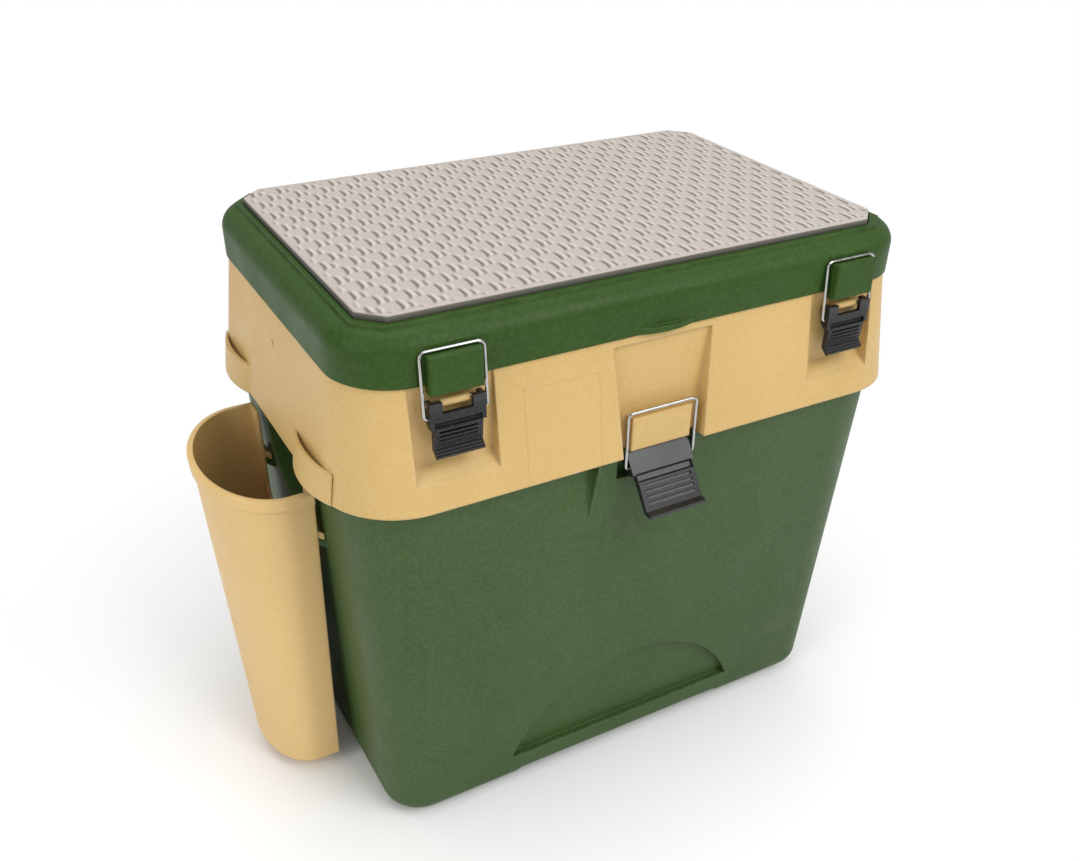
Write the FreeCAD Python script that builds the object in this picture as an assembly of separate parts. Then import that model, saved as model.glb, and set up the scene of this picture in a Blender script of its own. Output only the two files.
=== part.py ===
import FreeCAD, Part

# Fishing seat box: a lower box, an upper tray hinged on it and a padded seat lid hinged on the tray.
# Millimetres. +X runs to the right along the long side, -Y faces the latches and +Z is up.
# The pieces are drawn about the middle of the lower box, and the origin then goes to the floor under
# the middle of the whole, pocket and hinges included.
import math
import os

# Overall sizes of the lid and the stack of heights from the floor up
LENGTH = 375.0
DEPTH = 250.0
CORNER_RADIUS = 38.0
FOOT_HEIGHT = 4.0
TUB_HEIGHT = 276.0
SKIRT_LAP = 17.0
TRAY_HEIGHT = 56.0
LID_HEIGHT = 28.5
PLATFORM_RISE = 1.5
PAD_RECESS = 1.5
PAD_THICKNESS = 5.5

# Walls and clearances
WALL = 2.8
LID_WALL = 2.5
THIN_WALL = 2.2
GAP = 0.3
PIN_CLEARANCE = 0.05
TONGUE_CLEARANCE = 0.4

# How far the walls step or lean
LID_OVERHANG = 1.5
TRAY_FLARE = 9.0
RIM_GAP = 2.0
TUB_TAPER = 13.7

# Lid, seat platform and pad
LID_ROUND = 11.5
PAD_INSET = 16.5
PAD_CHAMFER = 13.0
PLATFORM_MARGIN = 4.5
PAD_CLEARANCE = 0.6
EDGE_ROUND = 1.5
RIB_HEIGHT = 12.0
RIB_THICKNESS = 2.0
RIBS_ALONG = 3
RIBS_ACROSS = 7
TONGUE_HEIGHT = 5.0
THUMB_LIP_LENGTH = 42.0
THUMB_LIP_REACH = 3.0
THUMB_LIP_HEIGHT = 3.4

# Tray partitions
PARTITION = 2.0
PARTITION_HEIGHT = 34.0
CELLS_ACROSS = 3

# Strap loops on the tray's short sides
LOOP_LENGTH = 62.0
LOOP_INSET = 55.0
LOOP_HEIGHT = 19.0
LOOP_BOW = 5.8
LOOP_BAND = 2.8

# Side latches on the lid, and the wider latch of the tray
SIDE_LATCH_INSET = 55.5
SIDE_CATCH_WIDTH = 30.0
SIDE_CATCH_HEIGHT = 21.0
SIDE_CATCH_DROP = 3.5
BOSS_RISE = 4.5
SIDE_LEVER_LENGTH = 28.0
SIDE_RECESS_WIDTH = 49.0
SIDE_RECESS_DROP = 47.8
CENTRE_CATCH_WIDTH = 42.0
CENTRE_CATCH_HEIGHT = 21.0
CENTRE_CATCH_LIFT = 0.5
CENTRE_LEVER_LENGTH = 38.0
CENTRE_RECESS_TOP = 67.0
CENTRE_RECESS_FOOT = 57.0
CENTRE_RECESS_HEAD = 5.0
CENTRE_REST_ANGLE = 38.0
RECESS_INSET = 1.5
RECESS_SLOPE = 42.0

# Latch mechanism, shared by the three latches
CATCH_THICKNESS = 8.0
CATCH_RAMP = 9.0
CATCH_GAP = 7.0
CATCH_ROUND = 1.2
WIRE_RADIUS = 1.0
WIRE_SIDE_GAP = 1.0
WIRE_TOP_BEND = 3.5
WIRE_END_BEND = 2.0
PIVOT_OUT = 2.0
CRANK_RADIUS = 7.0
CRANK_ANGLE = 20.0
BAIL_RATIO = 1.1
LEVER_CHEEK = 2.4
LEVER_SIDE = 1.0
LEVER_PLATE = 2.6
LATCH_PIN_RADIUS = 1.25
BRACKET_BARREL = 2.3
BRACKET_SHARE = 0.56
GRIP_SLOTS = 4

# Hinges along the back
HINGE_INSET = 75.5
KNUCKLE_RADIUS = 4.2
HINGE_PIN_RADIUS = 1.5
KNUCKLE_MIDDLE = 16.0
KNUCKLE_OUTER = 9.0
HINGE_GAP = 1.0

# Lower box details
TUB_FLOOR_ROUND = 12.0
CHANNEL_HEIGHT = 9.0
CHANNEL_HALF = 92.0
CHANNEL_CHAMFER = 9.0
ARCH_RADIUS = 98.0
ARCH_TOP = 90.0
ARCH_SILL = 27.0
ARCH_DEPTH = 5.0
LATCH_FLAT_HALF = 36.0
LATCH_FLAT_NARROW = 27.0
LATCH_FLAT_DROP = 36.5
FIN_X = -43.5
FIN_THICKNESS = 2.4
FIN_REACH = 7.5
FIN_HEIGHT = 42.0
GRIP_RADIUS = 50.0
GRIP_DROP = 30.0
GRIP_DEPTH = 15.0
GRIP_LIP = 2.0
FOOT_RADIUS = 15.0
FOOT_INSET = 31.0
FOOT_CHAMFER = 1.0

# Side pocket, hung on two slanted hooks of the lower box
POCKET_WIDTH = 125.0
POCKET_REACH = 56.0
POCKET_HEIGHT = 235.0
POCKET_FLOOR_Z = 8.0
POCKET_FOOT_WIDTH = 94.0
POCKET_FOOT_REACH = 45.0
POCKET_CENTRE_Y = 7.0
POCKET_FLAT = 14.0
POCKET_STANDOFF = 3.0
POCKET_RIM = 1.8
POCKET_RIM_HEIGHT = 8.0
POCKET_FLOOR_ROUND = 7.0
POCKET_RIM_ROUND = 1.4
POCKET_CUT_WIDTH = 92.0
POCKET_CUT_DEPTH = 78.0
POCKET_CUT_ROUND = 24.0
HOOK_SLOPE = 40.0
HOOK_WIDTH = 12.0
HOOK_THICKNESS = 5.0
HOOK_LEVEL = 204.0

# Levels and plan sizes that follow from the sizes above
RIM_Z = FOOT_HEIGHT + TUB_HEIGHT
TRAY_FOOT_Z = RIM_Z - SKIRT_LAP
SEAM_Z = RIM_Z + TRAY_HEIGHT
LID_TOP_Z = SEAM_Z + LID_HEIGHT
PLATFORM_Z = LID_TOP_Z + PLATFORM_RISE
PAD_Z = PLATFORM_Z - PAD_RECESS
FRONT_Y = -DEPTH / 2
SIDE_LATCH_X = LENGTH / 2 - SIDE_LATCH_INSET
HINGE_X = LENGTH / 2 - HINGE_INSET
LOOP_CENTRE_Y = DEPTH / 2 - LOOP_INSET
GRIP_LEVEL = RIM_Z - GRIP_DROP
LATCH_FLAT_FOOT = RIM_Z - LATCH_FLAT_DROP
LATCH_FLOOR_Y = FRONT_Y + LID_OVERHANG + RECESS_INSET
TRAY_LEAN = (LID_OVERHANG + TRAY_FLARE) / (SEAM_Z - TRAY_FOOT_Z)
HINGE_Y = DEPTH / 2 + KNUCKLE_RADIUS + HINGE_GAP
TRAY_HINGE_Y = DEPTH / 2 + TRAY_FLARE + KNUCKLE_RADIUS + HINGE_GAP


def vec(x, y, z):
    return FreeCAD.Vector(x, y, z)


def block(x0, x1, y0, y1, z0, z1):
    return Part.makeBox(x1 - x0, y1 - y0, z1 - z0, vec(x0, y0, z0))


def rod(radius, x0, x1, y, z):
    return Part.makeCylinder(radius, x1 - x0, vec(x0, y, z), vec(1, 0, 0))


def prism_yz(points, x0, x1):
    face = Part.Face(Part.makePolygon([vec(x0, y, z) for y, z in points + points[:1]]))
    return face.extrude(vec(x1 - x0, 0, 0))


def prism_xz(points, y0, y1):
    face = Part.Face(Part.makePolygon([vec(x, y0, z) for x, z in points + points[:1]]))
    return face.extrude(vec(0, y1 - y0, 0))


def join(first, others):
    result = first
    for other in others:
        result = result.fuse(other)
    return result.removeSplitter()


def cut_all(shape, tools):
    for tool in tools:
        shape = shape.cut(tool)
    return shape


# Plan outline with rounded corners, centred on the origin
def outline(length, depth, radius, z):
    half_x = length / 2
    half_y = depth / 2
    slant = radius * (1 - math.sqrt(0.5))
    edges = []
    corners = [(1, -1), (1, 1), (-1, 1), (-1, -1)]
    starts = []
    for sx, sy in corners:
        beside = vec(sx * half_x, sy * (half_y - radius), z)
        above = vec(sx * (half_x - radius), sy * half_y, z)
        middle = vec(sx * (half_x - slant), sy * (half_y - slant), z)
        ends = (above, beside) if sx * sy < 0 else (beside, above)
        starts.append((ends, middle))
    for i, (ends, middle) in enumerate(starts):
        following = starts[(i + 1) % 4][0]
        edges.append(Part.Arc(ends[0], middle, ends[1]).toShape())
        edges.append(Part.makeLine(ends[1], following[0]))
    return Part.Wire(edges)


def frustum(low, high):
    return Part.makeLoft([outline(*low), outline(*high)], True, True)


def octagon(inset, chamfer, z):
    x = LENGTH / 2 - inset
    y = DEPTH / 2 - inset
    half = [(x - chamfer, -y), (x, -y + chamfer), (x, y - chamfer), (x - chamfer, y)]
    points = half + [(-px, -py) for px, py in half]
    return Part.Face(Part.makePolygon([vec(px, py, z) for px, py in points + points[:1]]))


# Tray wall at a level: how far the outer face stands out from the lid's plan
def tray_growth(z):
    return -LID_OVERHANG + (SEAM_Z - z) * TRAY_LEAN


def tray_section(z, inset):
    grow = 2 * (tray_growth(z) - inset)
    return (LENGTH + grow, DEPTH + grow, CORNER_RADIUS + grow / 2, z)


# Lower box wall at a level: how far the outer face stands out from the lid's plan
def tub_growth(z):
    at_rim = tray_growth(RIM_Z) - WALL - RIM_GAP
    return at_rim - TUB_TAPER * (RIM_Z - z) / TUB_HEIGHT


def tub_section(z, inset):
    grow = 2 * (tub_growth(z) - inset)
    return (LENGTH + grow, DEPTH + grow, CORNER_RADIUS + grow / 2, z)


def horizontal_edges(shape, z, tolerance=0.01):
    picked = []
    for edge in shape.Edges:
        box = edge.BoundBox
        if abs(box.ZMin - z) < tolerance and abs(box.ZMax - z) < tolerance:
            picked.append(edge)
    return picked


# Pivot of a latch lever: reference wall, foot of the catch and the crank to the wire
def latch_pivot(wall_y, catch_foot):
    return wall_y - PIVOT_OUT, catch_foot - CATCH_GAP


def crank_point(wall_y, catch_foot):
    y, z = latch_pivot(wall_y, catch_foot)
    angle = math.radians(CRANK_ANGLE)
    return y - CRANK_RADIUS * math.sin(angle), z - CRANK_RADIUS * math.cos(angle)


def wire_bar_point(wall_y, catch_foot, catch_height):
    out = WIRE_RADIUS + GAP
    ramp = math.radians(CATCH_RAMP)
    rise = out * math.tan(ramp) + (WIRE_RADIUS + GAP) / math.cos(ramp)
    return wall_y - out, catch_foot + catch_height + rise


def lever_width(catch_width):
    return catch_width + 2 * LEVER_SIDE


# Catch block that the wire hooks over: its top ramps up away from the wall
def catch_block(x, wall_y, foot, width, height, root):
    ramp = CATCH_THICKNESS * math.tan(math.radians(CATCH_RAMP))
    top = foot + height
    out = wall_y - CATCH_THICKNESS
    points = [(wall_y + root, foot), (wall_y + root, top), (wall_y, top), (out, top + ramp), (out, foot)]
    body = prism_yz(points, x - width / 2, x + width / 2)
    front = [edge for edge in body.Edges if edge.BoundBox.YMax < out + GAP]
    return body.makeFillet(CATCH_ROUND, front)


# Bracket for the lever: a barrel on a narrower neck, T-shaped from the front
def latch_bracket(x, wall_y, foot, width, root_y):
    y, z = latch_pivot(wall_y, foot)
    half = width * BRACKET_SHARE / 2
    neck = half * 0.62
    parts = [rod(BRACKET_BARREL, x - half, x + half, y, z)]
    shoulder = z + BRACKET_BARREL * 0.6
    parts.append(block(x - neck, x + neck, y, root_y, z - BRACKET_BARREL, shoulder))
    return parts


def pin_bore(x, wall_y, foot, width):
    y, z = latch_pivot(wall_y, foot)
    return rod(LATCH_PIN_RADIUS + PIN_CLEARANCE, x - width, x + width, y, z)


# Lever: a thin shaped plate between two cheeks, drawn hanging down from its pivot
def lever(x, wall_y, foot, catch_width, length, window):
    y, z = latch_pivot(wall_y, foot)
    half = lever_width(catch_width) / 2
    face = PIVOT_OUT + 2 * BRACKET_BARREL - 1.4
    inner = face - LEVER_PLATE
    top = BRACKET_BARREL + 0.2
    first = length * 0.30
    step = length * 0.44
    plate = [(face, top), (face, -first), (face - 1.5, -first - 1.0), (face - 1.5, -step + 1.0),
             (face + 0.3, -step), (face - 0.9, -length + 3.5), (face + 2.4, -length),
             (face + 1.2, -length - 1.6), (inner - 1.2, -length + 2.4), (inner - 0.6, -step),
             (inner - 1.5, -step + 1.0), (inner - 1.5, -first - 1.0), (inner, -first), (inner, top)]
    cheek = [(-2.6, 1.0), (-1.2, top), (face, top), (face, -first), (face + 0.3, -step),
             (face - 0.9, -length + 3.5), (face + 0.6, -length + 1.2), (inner - 1.2, -length + 2.4),
             (inner - 1.2, -CRANK_RADIUS - 4.4), (-1.0, -CRANK_RADIUS - 2.6), (-2.6, -2.0)]
    body = prism_yz([(y - u, z + v) for u, v in plate], x - half, x + half)
    sides = [prism_yz([(y - u, z + v) for u, v in cheek], x - half, x - half + LEVER_CHEEK),
             prism_yz([(y - u, z + v) for u, v in cheek], x + half - LEVER_CHEEK, x + half)]
    # The lower part is narrower than the part that holds the wire
    trim = 2.0
    waist = z - CRANK_RADIUS - 5.0
    tools = []
    for side in (-1, 1):
        edge = x + side * half
        low, high = sorted((edge, edge - side * trim))
        tools.append(block(low - (side < 0), high + (side > 0), y - 15, y + 15, z - length - 9, waist))
    # Finger slots across the grip, and the window that the bracket shows through
    slot_half = half - LEVER_CHEEK - 2.6
    pitch = (length - 4.5 - step) / (GRIP_SLOTS + 0.6)
    for i in range(GRIP_SLOTS):
        level = z - step - 1.8 - i * pitch
        tools.append(block(x - slot_half, x + slot_half, y - face - 2, y - face + 1.1,
                           level - pitch * 0.5, level))
    if window:
        reach = catch_width * BRACKET_SHARE / 2 + GAP
        tools.append(block(x - reach, x + reach, y - face - 1, y - inner + 2.2,
                           z - BRACKET_BARREL - 1.6, z + top + 1))
    wire_y, wire_z = crank_point(wall_y, foot)
    tools.append(rod(LATCH_PIN_RADIUS + PIN_CLEARANCE, x - half - 1, x + half + 1, y, z))
    tools.append(rod(WIRE_RADIUS + PIN_CLEARANCE, x - half - 1, x + half + 1, wire_y, wire_z))
    return cut_all(join(body, sides), tools).removeSplitter()


# Path of straight runs with rounded bends between them
def bent_path(points, bends):
    edges = []
    start = points[0]
    for i in range(1, len(points) - 1):
        before = (points[i - 1] - points[i]).normalize()
        after = (points[i + 1] - points[i]).normalize()
        bend = bends[i - 1]
        enter = points[i] + before * bend
        leave = points[i] + after * bend
        middle = points[i] + (before + after) * (bend * (1 - math.sqrt(0.5)))
        edges.append(Part.makeLine(start, enter))
        edges.append(Part.Arc(enter, middle, leave).toShape())
        start = leave
    edges.append(Part.makeLine(start, points[-1]))
    return Part.Wire(edges)


# Wire loop: both ends turn in through the lever's cheeks
def bail(x, wall_y, foot, catch_width, catch_height):
    low_y, low_z = crank_point(wall_y, foot)
    high_y, high_z = wire_bar_point(wall_y, foot, catch_height)
    half = lever_width(catch_width) / 2
    tip = half - LEVER_CHEEK
    leg = half + WIRE_SIDE_GAP + WIRE_RADIUS
    points = [vec(x - tip, low_y, low_z), vec(x - leg, low_y, low_z), vec(x - leg, high_y, high_z),
              vec(x + leg, high_y, high_z), vec(x + leg, low_y, low_z), vec(x + tip, low_y, low_z)]
    path = bent_path(points, [WIRE_END_BEND, WIRE_TOP_BEND, WIRE_TOP_BEND, WIRE_END_BEND])
    section = Part.Wire(Part.makeCircle(WIRE_RADIUS, points[0], vec(1, 0, 0)))
    return path.makePipeShell([section], True, False)


def latch_pin(x, wall_y, foot, catch_width):
    y, z = latch_pivot(wall_y, foot)
    half = lever_width(catch_width) / 2
    return rod(LATCH_PIN_RADIUS, x - half, x + half, y, z)


# Turn a piece of the half-open latch outward about its pivot
def swing_out(shape, y, z, degrees):
    turned = shape.copy()
    turned.rotate(vec(0, y, z), vec(-1, 0, 0), degrees)
    return turned


# Hinge: the moving knuckle sits between two fixed ones, each on its own arm
def knuckle(x0, x1, y, z, wall_y, above):
    barrel = rod(KNUCKLE_RADIUS, x0, x1, y, z)
    low, high = (z, z + KNUCKLE_RADIUS) if above else (z - KNUCKLE_RADIUS, z)
    return barrel.fuse(block(x0, x1, wall_y, y, low, high))


def moving_knuckles(y, z, wall_y):
    half = KNUCKLE_MIDDLE / 2
    return [knuckle(side * HINGE_X - half, side * HINGE_X + half, y, z, wall_y, True)
            for side in (-1, 1)]


def fixed_knuckles(y, z, wall_y):
    near = KNUCKLE_MIDDLE / 2 + GAP
    far = near + KNUCKLE_OUTER
    parts = []
    for side in (-1, 1):
        centre = side * HINGE_X
        parts.append(knuckle(centre - far, centre - near, y, z, wall_y, False))
        parts.append(knuckle(centre + near, centre + far, y, z, wall_y, False))
    return parts


def hinge_bores(y, z):
    reach = KNUCKLE_MIDDLE / 2 + KNUCKLE_OUTER + 2
    return [rod(HINGE_PIN_RADIUS + PIN_CLEARANCE, side * HINGE_X - reach, side * HINGE_X + reach, y, z)
            for side in (-1, 1)]


def hinge_pin(side, y, z):
    half = KNUCKLE_MIDDLE / 2 + GAP + KNUCKLE_OUTER
    return rod(HINGE_PIN_RADIUS, side * HINGE_X - half, side * HINGE_X + half, y, z)


# Latch places
SIDE_CATCH_FOOT = SEAM_Z - SIDE_CATCH_DROP
CENTRE_WALL_Y = LATCH_FLOOR_Y
CENTRE_CATCH_FOOT = TRAY_FOOT_Z + CENTRE_CATCH_LIFT
LATCH_FLAT_Y = CENTRE_WALL_Y + WALL + 2 * GAP


# Recesses in the tray's front wall, drawn so that their twin behind keeps the wall's thickness
def side_recess(x, thickness):
    half = SIDE_RECESS_WIDTH / 2 + thickness
    floor = LATCH_FLOOR_Y + thickness
    slope = math.radians(RECESS_SLOPE)
    level = SEAM_Z - SIDE_RECESS_DROP - thickness * (1 / math.cos(slope) - math.tan(slope))
    far = FRONT_Y - TRAY_FLARE - 10
    ledge = level - (floor - far) * math.tan(slope)
    points = [(floor, SEAM_Z + 1), (floor, level), (far, ledge), (far, SEAM_Z + 1)]
    return prism_yz(points, x - half, x + half)


def centre_recess(thickness):
    head = SEAM_Z - CENTRE_RECESS_HEAD + thickness
    foot = TRAY_FOOT_Z - 1
    wide = CENTRE_RECESS_TOP / 2 + thickness
    narrow = CENTRE_RECESS_FOOT / 2 + thickness
    points = [(-wide, head), (-narrow, foot), (narrow, foot), (wide, head)]
    return prism_xz(points, FRONT_Y - TRAY_FLARE - 10, LATCH_FLOOR_Y + thickness)


# Strap loop: a bowed band that leans with the flared wall and leaves a narrow slot behind it
def strap_loop(side, centre_y):
    half = LOOP_LENGTH / 2
    foot = TRAY_FOOT_Z
    wall = LENGTH / 2 + tray_growth(foot) - WALL / 2
    crown = LENGTH / 2 + tray_growth(foot) + LOOP_BOW
    rise = vec(-side * LOOP_HEIGHT * TRAY_LEAN, 0, LOOP_HEIGHT)

    def bow(inset):
        ends = [vec(side * wall, centre_y + end * (half - inset), foot) for end in (-1, 1)]
        arc = Part.Arc(ends[0], vec(side * (crown - inset), centre_y, foot), ends[1])
        return Part.Face(Part.Wire([arc.toShape(), Part.makeLine(ends[1], ends[0])]))

    return bow(0).extrude(rise).cut(bow(LOOP_BAND).extrude(rise))


# Lower box
def arch_recess(depth, margin):
    centre_z = ARCH_TOP - ARCH_RADIUS
    radius = ARCH_RADIUS + margin
    near = -DEPTH
    disc = Part.makeCylinder(radius, DEPTH, vec(0, near, centre_z), vec(0, 1, 0))
    limit = block(-radius, radius, near, 0, ARCH_SILL - margin, ARCH_TOP + margin + 1)
    lean = TUB_TAPER / TUB_HEIGHT
    foot = FRONT_Y - tub_growth(0) + depth
    head = foot - lean * RIM_Z
    slab = prism_yz([(near, 0), (foot, 0), (head, RIM_Z), (near, RIM_Z)], -radius, radius)
    return disc.common(limit).common(slab)


def base_channel(margin):
    top = FOOT_HEIGHT + CHANNEL_HEIGHT + margin
    foot = FOOT_HEIGHT - 1
    inner = CHANNEL_HALF - CHANNEL_CHAMFER + margin
    outer = CHANNEL_HALF + 1 + margin
    points = [(-outer, foot), (-inner, top), (inner, top), (outer, foot)]
    return prism_xz(points, -DEPTH, DEPTH)


# Flat behind the middle latch: wide where the tray's skirt hides it, and narrow below
def latch_flat(margin):
    wide = LATCH_FLAT_HALF + margin
    narrow = LATCH_FLAT_NARROW + margin
    back = LATCH_FLAT_Y + margin
    upper = block(-wide, wide, -DEPTH, back, TRAY_FOOT_Z - GAP - margin, RIM_Z + 1)
    return upper.fuse(block(-narrow, narrow, -DEPTH, back, LATCH_FLAT_FOOT - margin, RIM_Z + 1))


def hand_grip(side, margin):
    radius = GRIP_RADIUS + margin
    face = LENGTH / 2 + tub_growth(GRIP_LEVEL)
    start = face - GRIP_DEPTH - margin
    length = GRIP_DEPTH + margin + 20
    disc = Part.makeCylinder(radius, length, vec(side * start, 0, GRIP_LEVEL), vec(side, 0, 0))
    top = RIM_Z - 2 * WALL + margin
    low, high = sorted((side * start, side * (start + length)))
    return disc.common(block(low, high, -radius, radius, GRIP_LEVEL - radius, top))


def grip_lip(side):
    face = LENGTH / 2 + tub_growth(GRIP_LEVEL - GRIP_RADIUS)
    reach = GRIP_RADIUS + GRIP_LIP
    start = vec(side * (face - WALL), 0, GRIP_LEVEL)
    outer = Part.makeCylinder(reach, WALL + GRIP_LIP, start, vec(side, 0, 0))
    low, high = sorted((side * (face - WALL), side * (face + GRIP_LIP)))
    return outer.common(block(low, high, -reach, reach, GRIP_LEVEL - reach, GRIP_LEVEL - GRIP_RADIUS * 0.3))


def hook_offsets():
    edge = pocket_size(HOOK_LEVEL)[0] / 2 - POCKET_RIM
    return [POCKET_CENTRE_Y + side * (POCKET_CUT_WIDTH / 2 + edge) / 2 for side in (-1, 1)]


# Slanted hooks: the box's rail leans out and up, and the pocket's hook leans in and down behind it
def rail_hook(centre_y):
    rise = math.tan(math.radians(HOOK_SLOPE))
    wall = -(LENGTH / 2 + tub_growth(HOOK_LEVEL))
    root = wall + WALL / 2
    lip = POCKET_BACK_X + GAP
    top_root = HOOK_LEVEL - (root - wall) * rise
    top_lip = HOOK_LEVEL + (wall - lip) * rise
    points = [(root, top_root), (lip, top_lip), (lip, top_lip - HOOK_THICKNESS),
              (root, top_root - HOOK_THICKNESS)]
    return prism_xz(points, centre_y - HOOK_WIDTH / 2, centre_y + HOOK_WIDTH / 2)


def pocket_hook(centre_y):
    rise = math.tan(math.radians(HOOK_SLOPE))
    wall = -(LENGTH / 2 + tub_growth(HOOK_LEVEL))
    gap = GAP / math.cos(math.radians(HOOK_SLOPE))
    tip = -(LENGTH / 2 + tub_growth(HOOK_LEVEL + 2 * HOOK_THICKNESS)) - GAP
    root = POCKET_BACK_X - THIN_WALL / 2
    foot_tip = HOOK_LEVEL + gap + (wall - tip) * rise
    foot_root = HOOK_LEVEL + gap + (wall - root) * rise
    points = [(tip, foot_tip), (root, foot_root), (root, foot_root + HOOK_THICKNESS),
              (tip, foot_tip + HOOK_THICKNESS)]
    return prism_xz(points, centre_y - HOOK_WIDTH / 2, centre_y + HOOK_WIDTH / 2)


POCKET_TOP_Z = POCKET_FLOOR_Z + POCKET_HEIGHT
POCKET_BACK_X = -(LENGTH / 2 + tub_growth(POCKET_TOP_Z)) - POCKET_STANDOFF


def lower_box():
    low = tub_section(FOOT_HEIGHT, 0)
    outer = frustum(low, tub_section(RIM_Z, 0))
    outer = outer.makeFillet(TUB_FLOOR_ROUND, horizontal_edges(outer, FOOT_HEIGHT))
    floor = FOOT_HEIGHT + WALL
    cavity = frustum(tub_section(floor, WALL), tub_section(RIM_Z, WALL))
    cavity = cavity.makeFillet(TUB_FLOOR_ROUND - WALL, horizontal_edges(cavity, floor))
    recesses = [arch_recess(ARCH_DEPTH, 0), base_channel(0), latch_flat(0)]
    kept = [arch_recess(ARCH_DEPTH + WALL, WALL), base_channel(WALL), latch_flat(WALL)]
    for side in (-1, 1):
        recesses.append(hand_grip(side, 0))
        kept.append(hand_grip(side, WALL))
    cavity = cut_all(cavity, kept)
    lips = [grip_lip(side) for side in (-1, 1)]
    body = cut_all(join(outer, lips), recesses).cut(cavity)
    fin_top = FRONT_Y - tub_growth(TRAY_FOOT_Z)
    fin_level = TRAY_FOOT_Z - 2 * GAP
    fin = prism_yz([(fin_top + WALL / 2, fin_level), (fin_top - FIN_REACH, fin_level),
                    (FRONT_Y - tub_growth(fin_level - FIN_HEIGHT), fin_level - FIN_HEIGHT),
                    (fin_top + WALL, fin_level - FIN_HEIGHT)],
                   FIN_X - FIN_THICKNESS / 2, FIN_X + FIN_THICKNESS / 2)
    parts = [fin]
    parts += latch_bracket(0, CENTRE_WALL_Y, CENTRE_CATCH_FOOT, CENTRE_CATCH_WIDTH, LATCH_FLAT_Y + WALL / 2)
    arm_wall = DEPTH / 2 + tub_growth(TRAY_FOOT_Z) - WALL / 2
    parts += fixed_knuckles(TRAY_HINGE_Y, TRAY_FOOT_Z, arm_wall)
    parts += [rail_hook(y) for y in hook_offsets()]
    body = join(body, parts)
    bores = hinge_bores(TRAY_HINGE_Y, TRAY_FOOT_Z)
    bores.append(pin_bore(0, CENTRE_WALL_Y, CENTRE_CATCH_FOOT, CENTRE_CATCH_WIDTH))
    return cut_all(body, bores)


def foot(side_x, side_y):
    grow = tub_growth(FOOT_HEIGHT)
    x = side_x * (LENGTH / 2 + grow - FOOT_INSET)
    y = side_y * (DEPTH / 2 + grow - FOOT_INSET)
    pad = Part.makeCylinder(FOOT_RADIUS, FOOT_HEIGHT, vec(x, y, 0))
    return pad.makeChamfer(FOOT_CHAMFER, horizontal_edges(pad, 0))


def upper_tray():
    outer = frustum(tray_section(TRAY_FOOT_Z, 0), tray_section(SEAM_Z, 0))
    recesses = [side_recess(side * SIDE_LATCH_X, 0) for side in (-1, 1)] + [centre_recess(0)]
    kept = [side_recess(side * SIDE_LATCH_X, WALL) for side in (-1, 1)] + [centre_recess(WALL)]
    floor = RIM_Z + WALL
    above = frustum(tray_section(floor, WALL), tray_section(SEAM_Z, WALL))
    above = cut_all(above, kept)
    tongue_out = LID_WALL + TONGUE_CLEARANCE
    tongue = frustum((LENGTH - 2 * tongue_out, DEPTH - 2 * tongue_out, CORNER_RADIUS - tongue_out, SEAM_Z),
                     (LENGTH - 2 * tongue_out, DEPTH - 2 * tongue_out, CORNER_RADIUS - tongue_out,
                      SEAM_Z + TONGUE_HEIGHT))
    mouth = tray_section(SEAM_Z, WALL)
    well = frustum(mouth, mouth[:3] + (SEAM_Z + TONGUE_HEIGHT,))
    below = frustum(tray_section(TRAY_FOOT_Z, WALL), tray_section(RIM_Z, WALL))
    below = cut_all(below, kept)
    body = cut_all(outer.fuse(tongue), recesses + [above, well, below])
    parts = [strap_loop(side, end * LOOP_CENTRE_Y) for side in (-1, 1) for end in (-1, 1)]
    half_y = DEPTH / 2 + tray_growth(floor) - WALL * 1.5
    half_x = LENGTH / 2 + tray_growth(floor) - WALL * 1.5
    head = floor + PARTITION_HEIGHT
    parts.append(block(-half_x, half_x, -PARTITION / 2, PARTITION / 2, RIM_Z + WALL / 2, head))
    for i in range(1, CELLS_ACROSS):
        x = -half_x + 2 * half_x * i / CELLS_ACROSS
        back = 0 if i % 2 else half_y
        parts.append(block(x - PARTITION / 2, x + PARTITION / 2, LATCH_FLOOR_Y + WALL / 2, back,
                           RIM_Z + WALL / 2, head))
    for side in (-1, 1):
        parts += latch_bracket(side * SIDE_LATCH_X, FRONT_Y, SIDE_CATCH_FOOT, SIDE_CATCH_WIDTH,
                               LATCH_FLOOR_Y + WALL / 2)
    parts.append(catch_block(0, CENTRE_WALL_Y, CENTRE_CATCH_FOOT, CENTRE_CATCH_WIDTH, CENTRE_CATCH_HEIGHT,
                             WALL / 2))
    parts += fixed_knuckles(HINGE_Y, SEAM_Z, DEPTH / 2 - LID_OVERHANG - WALL / 2)
    skirt = DEPTH / 2 + tray_growth(TRAY_FOOT_Z) - WALL / 2
    parts += moving_knuckles(TRAY_HINGE_Y, TRAY_FOOT_Z, skirt)
    body = join(body, parts)
    bores = hinge_bores(HINGE_Y, SEAM_Z) + hinge_bores(TRAY_HINGE_Y, TRAY_FOOT_Z)
    bores += [pin_bore(side * SIDE_LATCH_X, FRONT_Y, SIDE_CATCH_FOOT, SIDE_CATCH_WIDTH) for side in (-1, 1)]
    return cut_all(body, bores)


# Thumb lip: a thin lens-shaped ledge at the lid's lower edge
def thumb_lip():
    half = THUMB_LIP_LENGTH / 2
    ends = [vec(side * half, FRONT_Y + LID_WALL / 2, SEAM_Z) for side in (-1, 1)]
    arc = Part.Arc(ends[0], vec(0, FRONT_Y - THUMB_LIP_REACH, SEAM_Z), ends[1]).toShape()
    plan = Part.Face(Part.Wire([arc, Part.makeLine(ends[1], ends[0])]))
    return plan.extrude(vec(0, 0, THUMB_LIP_HEIGHT))


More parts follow.
